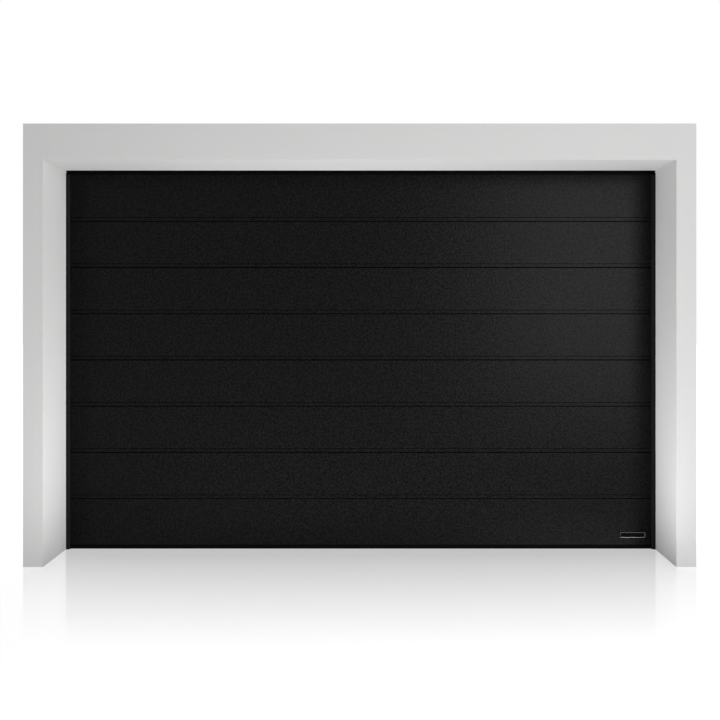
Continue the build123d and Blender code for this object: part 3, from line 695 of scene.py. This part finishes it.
class DOOR_OT_hinges(DoorPiece, bpy.types.Operator):
    """Makes the pressed hinges with their rolled knuckles and pins"""

    bl_idname = "door.hinges"
    bl_label = "Hinges"

    PITCH = 850 * MM
    WIDTH = 60 * MM
    SHEET = 2.5 * MM
    TOP = 52 * MM
    RELIEF = 8 * MM
    ARM = 16 * MM
    KNUCKLE = 6.5 * MM
    PIN = 4 * MM
    SIDE_KNUCKLES = (-21 * MM, 21 * MM)
    SIDE_LENGTH = 18 * MM
    MIDDLE_LENGTH = 20 * MM

    def columns(self):
        """Each hinge's place along X and the face that it lies on."""
        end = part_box("hinge_upper_leaves")[1].x - self.WIDTH / 2
        middle = [(self.PITCH * n, LEAF_BACK) for n in (-1, 0, 1)]
        return middle + [(side * end, CAP_BACK) for side in SIDES]

    def leaf(self, bm, x, seat, joint, side, knuckles):
        """One leaf: a plate with two clipped corners, and arms that roll round the pin."""
        clip = 6 * MM
        outer = joint + side * self.TOP
        half = self.WIDTH / 2
        plate = [
            (x - half, joint + side * self.RELIEF), (x + half, joint + side * self.RELIEF),
            (x + half, outer - side * clip), (x + half - clip, outer),
            (x - half + clip, outer), (x - half, outer - side * clip),
        ]
        face = profile_face(bm, plate, lambda along, up: Vector((along, seat, up)))
        push(bm, face, (0, self.SHEET, 0))
        for middle, length in knuckles:
            start = x + middle - length / 2
            curl = arc((PIN_DEPTH, 0), self.KNUCKLE, 90, -180, 12)
            rolled = [
                (seat, self.RELIEF), (seat, self.ARM), (seat + self.SHEET, self.ARM), *curl,
            ]
            points = [(y, joint + side * z) for y, z in rolled]
            face = profile_face(bm, points, lambda y, z, start=start: Vector((start, y, z)))
            push(bm, face, (length, 0, 0))

    def make(self, finish, hardware):
        steel = plated("hinge_steel", (0.6, 0.6, 0.59), 0.34)
        pin_steel = turned("pin_steel", (0.5, 0.5, 0.5), 0.25)
        upper_knuckles = [(place, self.SIDE_LENGTH) for place in self.SIDE_KNUCKLES]
        kinds = (
            ("upper_hinge_leaves", "hinge_upper_leaves", 1, upper_knuckles),
            ("lower_hinge_leaves", "hinge_lower_leaves", -1, [(0, self.MIDDLE_LENGTH)]),
        )
        for name, node, side, knuckles in kinds:
            bm = bmesh.new()
            for x, seat in self.columns():
                for joint in JOINTS:
                    self.leaf(bm, x, seat, joint, side, knuckles)
            finish_piece(bm, name, steel, (node,), 30)
        bm = bmesh.new()
        half = PIN_HIGH.x - self.columns()[-1][0]
        for x, _seat in self.columns():
            for joint in JOINTS:
                middle = (x, PIN_DEPTH, joint)
                round_bar(bm, middle, (1, 0, 0), self.PIN, 2 * half, 0.8 * MM)
        finish_piece(bm, "rounded_hinge_pins", pin_steel, ("hinge_pins",), 50)


def roller_places():
    """Depth and height of the five roller axes on a side: foot, head and the three joints."""
    low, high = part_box("roller_wheels")
    places = [(ROLLER_DEPTH, low.z + WHEEL_RADIUS), (high.y - WHEEL_RADIUS, high.z - WHEEL_RADIUS)]
    return places + [(ROLLER_DEPTH, joint + CARRIER_RISE) for joint in JOINTS]


class DOOR_OT_brackets(DoorPiece, bpy.types.Operator):
    """Plates the roller carriers and brackets, and turns their sleeves and stems"""

    bl_idname = "door.brackets"
    bl_label = "Brackets"

    FOOT_WIDTH = 62 * MM
    CARRIER_WIDTH = 50 * MM
    TAIL = 5 * MM
    CHEEK = 3 * MM
    SLEEVE = 9.4 * MM
    SLEEVE_BORE = 5.7 * MM
    STEM = 5.5 * MM
    LIP = 2 * MM
    PIN_HEAD = 3 * MM
    PIN_RADIUS = 9.9 * MM
    PIN_HEIGHT = 60 * MM

    def sleeve(self, bm, start, end, place):
        """A tube between the cheeks, and a lip of it that is rolled over the outside of each."""
        tube, bore, lip = self.SLEEVE, self.SLEEVE_BORE, self.LIP
        inner_start, inner_end = start + self.CHEEK, end - self.CHEEK
        outline = [(inner_start, bore), (inner_start, tube), (inner_end, tube), (inner_end, bore)]
        lathe(bm, outline, (0, *place), 24)
        for face, way in ((start, -1), (end, 1)):
            rim = [
                (face, bore), (face, tube - 0.6 * MM), (face + way * 0.7 * lip, tube - 0.9 * MM),
                (face + way * lip, tube - 1.8 * MM), (face + way * lip, bore),
            ]
            lathe(bm, rim, (0, *place), 24)

    def make(self, finish, hardware):
        steel, bright = PALETTE["hinge_steel"], PALETTE["pin_steel"]
        dress(steel, "roller_carriers", "bottom_brackets", "top_brackets")
        foot, head, *joints = roller_places()
        carrier_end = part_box("roller_carriers")[1].x
        foot_end = LEAF_HIGH.x
        bm = bmesh.new()
        self.sleeve(bm, foot_end - self.FOOT_WIDTH, foot_end, foot)
        for place in (head, *joints):
            self.sleeve(bm, carrier_end - self.CARRIER_WIDTH, carrier_end, place)
        mirror_right(bm)
        finish_piece(bm, "roller_sleeves", steel, smooth_angle=35)
        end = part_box("roller_stems")[1].x
        start = foot_end - self.FOOT_WIDTH - self.TAIL
        bm = bmesh.new()
        for place in (foot, head, *joints):
            middle = ((start + end) / 2, *place)
            round_bar(bm, middle, (1, 0, 0), self.STEM, end - start, 0.9 * MM)
            clip = [(1 * MM, 5.4 * MM), (1 * MM, 8 * MM), (2.3 * MM, 8 * MM), (2.3 * MM, 5.4 * MM)]
            lathe(bm, clip, (start, *place), 20)
        mirror_right(bm)
        finish_piece(bm, "turned_stems", bright, ("roller_stems",), 35)
        pin_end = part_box("bottom_brackets")[1].x - self.PIN_HEAD / 2
        bm = bmesh.new()
        eye_pin = (pin_end, CABLE_DEPTH, self.PIN_HEIGHT)
        round_bar(bm, eye_pin, (1, 0, 0), self.PIN_RADIUS, 1.1 * self.PIN_HEAD, 0.8 * MM, 20)
        mirror_right(bm)
        finish_piece(bm, "cable_pin_heads", bright, smooth_angle=35)


class DOOR_OT_rollers(DoorPiece, bpy.types.Operator):
    """Turns the nylon wheels with their rounded tyres and bearing seats"""

    bl_idname = "door.rollers"
    bl_label = "Rollers"

    WIDTH = 16 * MM

    def make(self, finish, hardware):
        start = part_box("roller_wheels")[1].x - self.WIDTH
        profile = [
            (0, 5.6), (0, 10.5), (1.5, 10.5), (1.5, 12), (3.5, 12), (3.5, 18.5), (0.4, 19.5),
            (0.4, 21), (1.6, 22.6), (4, 23), (12, 23), (14.4, 22.6), (15.6, 21), (15.6, 19.5),
            (12.5, 18.5), (12.5, 12), (14.5, 12), (14.5, 10.5), (16, 10.5), (16, 5.6),
        ]
        points = [(along * MM, out * MM) for along, out in profile]
        bm = bmesh.new()
        for place in roller_places():
            lathe(bm, points, (start, *place), 32)
        mirror_right(bm)
        tyre = nylon((0.78, 0.77, 0.72))
        finish_piece(bm, "turned_rollers", tyre, ("roller_wheels",), 35)


class DOOR_OT_shaft(DoorPiece, bpy.types.Operator):
    """Finishes the torsion shaft and its bearings"""

    bl_idname = "door.shaft"
    bl_label = "Shaft"

    def make(self, finish, hardware):
        dress(turned("shaft_steel", (0.55, 0.56, 0.57), 0.36), "torsion_shaft")
        dress(turned("bearing_steel", (0.42, 0.42, 0.43), 0.24), "shaft_bearings")


class DOOR_OT_springs(DoorPiece, bpy.types.Operator):
    """Winds the two torsion springs and finishes the plugs in their ends"""

    bl_idname = "door.springs"
    bl_label = "Springs"

    START = 14 * MM
    WIRE = 3.5 * MM
    WIRE_SIDES = 8
    STEPS = 22

    def make(self, finish, hardware):
        wire = oiled_wire()
        dress(casting("plug_casting", (0.5, 0.5, 0.51)), "spring_plugs")
        low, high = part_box("torsion_springs")
        start = self.START
        coil = (high.z - low.z) / 2 - self.WIRE
        length = high.x - start - 2 * self.WIRE
        turns = int(length / hardware.wire_pitch)
        bm = bmesh.new()
        centre = Vector((start + self.WIRE, SHAFT_DEPTH, SHAFT_HEIGHT + coil))
        made = bmesh.ops.create_circle(
            bm, cap_ends=True, segments=self.WIRE_SIDES, radius=self.WIRE,
            matrix=Matrix.Translation(centre) @ facing((0, 1, 0)),
        )
        ring = made["verts"] + bm.edges[:]
        steps = turns * self.STEPS
        middle = (0, SHAFT_DEPTH, SHAFT_HEIGHT)
        sweep(bm, ring, middle, (1, 0, 0), 2 * pi * turns, steps, (length / steps, 0, 0))
        mirror_right(bm)
        finish_piece(bm, "spring_coils", wire, ("torsion_springs",), 60)


class DOOR_OT_drums(DoorPiece, bpy.types.Operator):
    """Turns the cable drums with their grooves"""

    bl_idname = "door.drums"
    bl_label = "Drums"

    LENGTH = 58 * MM
    BARREL = 58 * MM
    CREST = 59.4 * MM
    RIM = 64 * MM
    HUB = 22 * MM
    WALL = 8 * MM
    WEB = 12 * MM
    HUB_LENGTH = 14 * MM
    RIM_WIDTH = 4 * MM
    GROOVES = 7
    GROOVE_RADIUS = 2.1 * MM

    def make(self, finish, hardware):
        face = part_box("cable_drums")[1].x
        back = face - self.LENGTH
        bore = 12.8 * MM
        outline = [(face, bore), (face, self.RIM - 0.8 * MM), (face - 0.8 * MM, self.RIM)]
        outline += [(face - self.RIM_WIDTH, self.RIM), (face - self.RIM_WIDTH, self.CREST)]
        for groove in range(self.GROOVES):
            middle = CABLE_SIDE - groove * hardware.groove_pitch
            outline += arc((middle, self.BARREL + 2 * MM), self.GROOVE_RADIUS, -17, -163, 6)
        outline += [(back + 1 * MM, self.CREST), (back, self.CREST - 1 * MM)]
        outline += [(back, self.BARREL - self.WALL), (face - self.WEB, self.BARREL - self.WALL)]
        outline += [(face - self.WEB, self.HUB), (back - self.HUB_LENGTH, self.HUB)]
        outline += [(back - self.HUB_LENGTH, bore)]
        bm = bmesh.new()
        points = [(x - face, out) for x, out in outline]
        lathe(bm, points, (face, SHAFT_DEPTH, SHAFT_HEIGHT), 56)
        mirror_right(bm)
        alloy = casting("drum_casting", (0.56, 0.56, 0.57))
        finish_piece(bm, "grooved_drums", alloy, ("cable_drums",), 35)


class DOOR_OT_cables(DoorPiece, bpy.types.Operator):
    """Lays the lifting cables from their eyes to the drums"""

    bl_idname = "door.cables"
    bl_label = "Cables"

    RADIUS = 2 * MM
    SIDES = 10
    EYE = 7.8 * MM
    FERRULE = 4.4 * MM
    FERRULE_LENGTH = 25 * MM
    WRAP = radians(300)

    def make(self, finish, hardware):
        x, y, eye = CABLE_SIDE, CABLE_DEPTH, self.EYE
        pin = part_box("lift_cables")[0].z + eye + self.RADIUS
        bm = bmesh.new()

        def ring_at(place):
            """The round section of a cable that runs upwards."""
            verts = bmesh.ops.create_circle(
                bm, cap_ends=False, segments=self.SIDES, radius=self.RADIUS,
                matrix=Matrix.Translation(place),
            )["verts"]
            return verts, edges_of(verts)

        verts, edges = ring_at((x, y + eye, pin))
        full_turn(bm, verts + edges, (x, y, pin), 24)
        verts, edges = ring_at((x, y, pin + eye))
        bmesh.ops.contextual_create(bm, geom=edges)
        made = bmesh.ops.extrude_edge_only(bm, edges=edges)
        top = [item for item in made["geom"] if isinstance(item, bmesh.types.BMVert)]
        rim = [edge for edge in edges_of(top) if edge.verts[1] in top]
        bmesh.ops.translate(bm, verts=top, vec=(0, 0, SHAFT_HEIGHT - pin - eye))
        sweep(bm, top + rim, (0, SHAFT_DEPTH, SHAFT_HEIGHT), (-1, 0, 0), self.WRAP, 60)
        ferrule = (x, y, pin + eye + 15 * MM)
        round_bar(bm, ferrule, (0, 0, 1), self.FERRULE, self.FERRULE_LENGTH, 1 * MM, 14)
        mirror_right(bm)
        rope = wire_rope((0.5, 0.51, 0.52))
        finish_piece(bm, "wire_ropes", rope, ("lift_cables",), 60)


class DOOR_OT_fasteners(DoorPiece, bpy.types.Operator):
    """Sets the screws and bolts"""

    bl_idname = "door.fasteners"
    bl_label = "Fasteners"

    HINGE_SPREAD = 17 * MM
    HINGE_RISE = 35 * MM
    END_SPREAD = 12 * MM
    CARRIER_SHEET = 3 * MM
    CARRIER_RISE = 42 * MM
    FOOT_COLUMNS = (1725 * MM, 1753 * MM)
    FOOT_ROWS = (16 * MM, 84 * MM)
    HEAD_COLUMNS = (1721 * MM, 1743 * MM)
    HEAD_ROWS = (12 * MM, 70 * MM)
    FRAME_COLUMN = 1787 * MM
    FRAME_HEIGHTS = (0.15, 0.72, 1.29, 1.86, 2.24)
    RAIL_END = 60 * MM
    RAIL_EDGE = 12 * MM
    CENTRE_COLUMN = 24 * MM
    END_COLUMN = 1785 * MM
    FOOT_SPREAD = 48 * MM
    TRACK_HEIGHTS = (0.2, 0.62, 1.05, 1.47)
    CURVE_TURNS = (12, 34, 56, 78)
    LOWER_DEPTHS = (0.385, 0.445)
    UPPER_DEPTHS = (0.09, 0.25, 0.44)
    PLATE_CORNER = (0.066, 1.86)
    HANGER_DEPTHS = (1.3, 2.507)
    BAR_COLUMNS = (1.795, 1.818)
    FLANGE = 2.5 * MM
    HUB_BACK = 65.5 * MM
    COLLAR_BACK = 15 * MM
    COLLAR = 30 * MM

    def rows(self, bm, columns, face, heights, across):
        """Screws on a face towards the garage, in each column on both sides and at each height."""
        for side in SIDES:
            for x in columns:
                for z in heights:
                    hexagon_screw(bm, Vector((side * x, face, z)), (0, 1, 0), across)

    def hinge_screws(self, bm, across):
        """Two screws in each leaf, on the carrier's plate where one lies over it."""
        pitch, sheet = DOOR_OT_hinges.PITCH, DOOR_OT_hinges.SHEET
        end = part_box("hinge_upper_leaves")[1].x - DOOR_OT_hinges.WIDTH / 2
        spread = self.HINGE_SPREAD
        middle_columns = (spread, pitch - spread, pitch + spread)
        end_columns = (end - self.END_SPREAD, end + self.END_SPREAD)
        for joint in JOINTS:
            low, high = joint - self.HINGE_RISE, joint + self.HINGE_RISE
            over = joint + self.CARRIER_RISE
            self.rows(bm, middle_columns, LEAF_BACK + sheet, (low, high), across)
            self.rows(bm, end_columns, CAP_BACK + sheet, (low,), across)
            self.rows(bm, end_columns, CAP_BACK + sheet + self.CARRIER_SHEET, (over,), across)

    def bracket_screws(self, bm, across):
        """Four screws in each corner bracket."""
        face = CAP_BACK + self.CARRIER_SHEET
        brackets = (
            ("bottom_brackets", self.FOOT_COLUMNS, self.FOOT_ROWS),
            ("top_brackets", self.HEAD_COLUMNS, self.HEAD_ROWS),
        )
        for node, columns, rises in brackets:
            heights = [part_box(node)[0].z + rise for rise in rises]
            self.rows(bm, columns, face, heights, across)

    def wall_bolts(self, bm, across):
        """Bolts through the frames, the header rail and the shaft's plates into the wall."""
        rail_low, rail_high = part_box("header_rail")
        reach = rail_high.x - self.RAIL_END
        columns = [reach * n / 4 for n in (1, 2, 3, 4)]
        heights = (rail_low.z + self.RAIL_EDGE, rail_high.z - self.RAIL_EDGE)
        self.rows(bm, columns, rail_high.y, heights, across)
        feet = (SHAFT_HEIGHT - self.FOOT_SPREAD, SHAFT_HEIGHT + self.FOOT_SPREAD)
        plates = (
            ("side_frame_right", 2 * MM, self.FRAME_COLUMN, self.FRAME_HEIGHTS),
            ("centre_plate", 4 * MM, self.CENTRE_COLUMN, feet),
            ("end_plates", 3 * MM, self.END_COLUMN, feet),
        )
        for node, sheet, column, heights in plates:
            self.rows(bm, (column,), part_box(node)[0].y + sheet, heights, across)

    def track_bolts(self, bm, across):
        """Bolts that hold the tracks to the frames, plates and hangers."""
        plate_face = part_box("corner_plates")[1].x
        hanger_faces = [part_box(f"{name}_hangers")[1].x for name in ("middle", "rear")]
        radius = LOWER_HEIGHT - CURVE_LOW.z
        curve = [
            (CURVE_HIGH.y - radius * cos(radians(turn)), CURVE_LOW.z + radius * sin(radians(turn)))
            for turn in self.CURVE_TURNS
        ]
        level = [(y, LOWER_HEIGHT) for y in self.LOWER_DEPTHS]
        level += [(y, UPPER_HEIGHT) for y in self.UPPER_DEPTHS]
        spots = [(FRAME_FACE, ROLLER_DEPTH, z) for z in self.TRACK_HEIGHTS]
        spots += [(plate_face, y, z) for y, z in (*curve, *level, self.PLATE_CORNER)]
        for face, y in zip(hanger_faces, self.HANGER_DEPTHS):
            spots += [(face, y, height) for height in (LOWER_HEIGHT, UPPER_HEIGHT)]
        for side in SIDES:
            for x, y, z in spots:
                hexagon_screw(bm, Vector((side * x, y, z)), (side, 0, 0), across)

    def bar_bolts(self, bm, across):
        """Bolts through the cross bar and the flanges of the rear plates."""
        low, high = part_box("cross_bar")
        for side in SIDES:
            for x in self.BAR_COLUMNS:
                place = Vector((side * x, low.y - self.FLANGE, (low.z + high.z) / 2))
                hexagon_screw(bm, place, (0, -1, 0), across, washer=False)

    def set_screws(self, bm, across):
        """Screws that lock the drums and the winding plugs on the shaft."""
        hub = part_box("cable_drums")[1].x - self.HUB_BACK
        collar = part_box("spring_plugs")[1].x - self.COLLAR_BACK
        rings = ((hub, DOOR_OT_drums.HUB, (20, 110)), (collar, self.COLLAR, (45, 225)))
        for side in SIDES:
            for x, radius, turns in rings:
                for turn in turns:
                    axis = Vector((0, cos(radians(turn)), sin(radians(turn))))
                    middle = Vector((side * x, SHAFT_DEPTH, SHAFT_HEIGHT))
                    place = middle + axis * (radius - 0.5 * MM)
                    hexagon_screw(bm, place, axis, across, washer=False)

    def make(self, finish, hardware):
        across = hardware.screw_head
        bright = plated("screw_zinc", (0.66, 0.66, 0.64), 0.3)
        groups = (
            ("hinge_screws", self.hinge_screws, across),
            ("bracket_screws", self.bracket_screws, across),
            ("wall_bolts", self.wall_bolts, 1.3 * across),
            ("track_bolts", self.track_bolts, 1.1 * across),
            ("bar_bolts", self.bar_bolts, 0.9 * across),
            ("set_screws", self.set_screws, across),
        )
        for name, method, size in groups:
            bm = bmesh.new()
            method(bm, size)
            finish_piece(bm, name, bright, smooth_angle=30)


class DOOR_OT_stage(bpy.types.Operator):
    """Sets up the floor, the light and the camera"""

    bl_idname = "door.stage"
    bl_label = "Stage"
    bl_options = {"REGISTER", "UNDO"}

    # The camera stands 4.03 m in front of the wall and looks straight at it.
    CAMERA = (0.091, -4.362, 1.39)
    LENS = 36.48
    SHIFT = (-0.0224, -0.06194)
    FLOOR_SIZE = 60.0

    def seen(self, tree):
        """1 for rays that show the surface, straight or in a reflection, and 0 for light."""
        rays = tree.nodes.new("ShaderNodeLightPath").outputs
        straight = rays["Is Camera Ray"]
        for name in ("Is Glossy Ray", "Is Transmission Ray"):
            straight = maths(tree, "MAXIMUM", straight, rays[name])
        return straight

    def light_world(self, scene, stage):
        """An even pale sky that shows as white."""
        world = bpy.data.worlds.new("studio")
        world.use_nodes = True
        scene.world = world
        tree = world.node_tree
        strength = between(tree, self.seen(tree), stage.sky, 1.0)
        sky = tree.nodes["Background"]
        sky.inputs["Color"].default_value = (1, 1, 1, 1)
        tree.links.new(strength, sky.inputs["Strength"])

    def lay_floor(self, scene, stage):
        """A pale floor that mirrors the foot of the door and keeps its shadow."""
        bm = bmesh.new()
        bmesh.ops.create_grid(bm, x_segments=2, y_segments=2, size=self.FLOOR_SIZE / 2)
        mesh = bpy.data.meshes.new("floor")
        bm.to_mesh(mesh)
        bm.free()
        floor = bpy.data.objects.new("floor", mesh)
        scene.collection.objects.link(floor)
        material, tree, shader, place = start_material("pale_floor")
        mesh.materials.append(material)
        seen = self.seen(tree)
        pale = blend(tree, seen, (0.92, 0.92, 0.92, 1), (0.45, 0.45, 0.45, 1))
        tree.links.new(pale, shader.inputs["Base Color"])
        shader.inputs["Roughness"].default_value = 0.9
        shader.inputs["Specular IOR Level"].default_value = 0.0
        shader.inputs["Emission Color"].default_value = (1, 1, 1, 1)
        reach = add(tree, "ShaderNodeVectorMath", {0: place}, operation="LENGTH").outputs["Value"]
        glow = between(tree, reach, 0.785, 1.0, 2.6, 6.8)
        glow = maths(tree, "MULTIPLY", glow, seen)
        tree.links.new(glow, shader.inputs["Emission Strength"])
        gloss = add(tree, "ShaderNodeBsdfGlossy", {"Color": (1, 1, 1, 1), "Roughness": 0.06})
        depth = part_of(tree, place, "Y")
        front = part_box("lintel")[0].y
        near = between(tree, depth, 0.0, stage.floor_shine, front - 0.95, front + 0.2)
        behind = between(tree, depth, 1.0, 0.12, LEAF_BACK, LEAF_BACK + 0.3)
        far = maths(tree, "MULTIPLY", near, behind)
        mixed = add(
            tree, "ShaderNodeMixShader",
            {0: far, 1: shader.outputs["BSDF"], 2: gloss.outputs["BSDF"]},
        )
        output = tree.nodes["Material Output"]
        tree.links.new(mixed.outputs["Shader"], output.inputs["Surface"])

    def lamp(self, scene, name, place, aim, size, power, mirrored):
        """One soft lamp; mirrored ones show as a glow on the leaf."""
        light = bpy.data.lights.new(name, "AREA")
        light.shape = "RECTANGLE"
        light.size, light.size_y = size
        light.energy = power
        lamp = bpy.data.objects.new(name, light)
        lamp.visible_camera = False
        lamp.visible_glossy = mirrored
        scene.collection.objects.link(lamp)
        lamp.location = place
        direction = Vector(aim) - Vector(place)
        lamp.rotation_euler = direction.to_track_quat("-Z", "Y").to_euler()

    def place_camera(self, scene):
        """The camera at the picture's viewpoint."""
        camera = bpy.data.objects.new("camera", bpy.data.cameras.new("camera"))
        scene.collection.objects.link(camera)
        camera.location = self.CAMERA
        camera.rotation_euler = (radians(90), 0, 0)
        camera.data.lens = self.LENS
        camera.data.shift_x, camera.data.shift_y = self.SHIFT
        scene.camera = camera

    def execute(self, context):
        scene, stage = context.scene, context.scene.door_stage
        self.place_camera(scene)
        self.light_world(scene, stage)
        self.lay_floor(scene, stage)
        inside = LEAF_FACE - 0.16
        lamps = (
            ("key", (3.6, -7.0, 2.4), (1.1, 0, 1.2), (3.2, 4.8)),
            ("left_side", (-14, -2.2, 2), (1.75, inside, 1.2), (2.5, 5)),
            ("right_side", (14, -2.2, 2), (-1.75, inside, 1.2), (2.5, 5)),
            ("low_fill", (0.05, -0.72, 0.03), (0.05, -0.5, 2.2), (2.7, 0.5)),
            ("back", (0, 6, 6.5), (0, 0, 1.4), (4, 3)),
        )
        for name, place, aim, size in lamps:
            self.lamp(scene, name, place, aim, size, getattr(stage, name), name == "key")
        scene.view_settings.view_transform = "Standard"
        return {"FINISHED"}


class DOOR_PT_panel(bpy.types.Panel):
    """Lists the door's sizes, colours and steps"""

    bl_label = "Sectional garage door"
    bl_idname = "DOOR_PT_panel"
    bl_space_type = "VIEW_3D"
    bl_region_type = "UI"
    bl_category = "Door"

    def draw(self, context):
        layout, scene = self.layout, context.scene
        for group in (scene.door_finish, scene.door_hardware, scene.door_stage):
            box = layout.box()
            for name in group.__annotations__:
                box.prop(group, name)
        for step in STEPS:
            layout.operator(step.bl_idname)


GROUPS = (DoorFinish, DoorHardware, DoorStage)
STEPS = (
    DOOR_OT_wall, DOOR_OT_leaf, DOOR_OT_seals, DOOR_OT_name_plate, DOOR_OT_frames,
    DOOR_OT_tracks, DOOR_OT_hinges, DOOR_OT_brackets, DOOR_OT_rollers, DOOR_OT_shaft,
    DOOR_OT_springs, DOOR_OT_drums, DOOR_OT_cables, DOOR_OT_fasteners, DOOR_OT_stage,
)


def register():
    """Registers the classes and hangs their settings on the scene."""
    for kind in (*GROUPS, *STEPS, DOOR_PT_panel):
        bpy.utils.register_class(kind)
    bpy.types.Scene.door_finish = bpy.props.PointerProperty(type=DoorFinish)
    bpy.types.Scene.door_hardware = bpy.props.PointerProperty(type=DoorHardware)
    bpy.types.Scene.door_stage = bpy.props.PointerProperty(type=DoorStage)


def unregister():
    """Takes the settings and the classes away."""
    del bpy.types.Scene.door_stage
    del bpy.types.Scene.door_hardware
    del bpy.types.Scene.door_finish
    for kind in reversed((*GROUPS, *STEPS, DOOR_PT_panel)):
        bpy.utils.unregister_class(kind)


def main():
    """Makes every piece in order."""
    register()
    for step in STEPS:
        group, name = step.bl_idname.split(".")
        getattr(getattr(bpy.ops, group), name)()


if __name__ == "__main__":
    main()
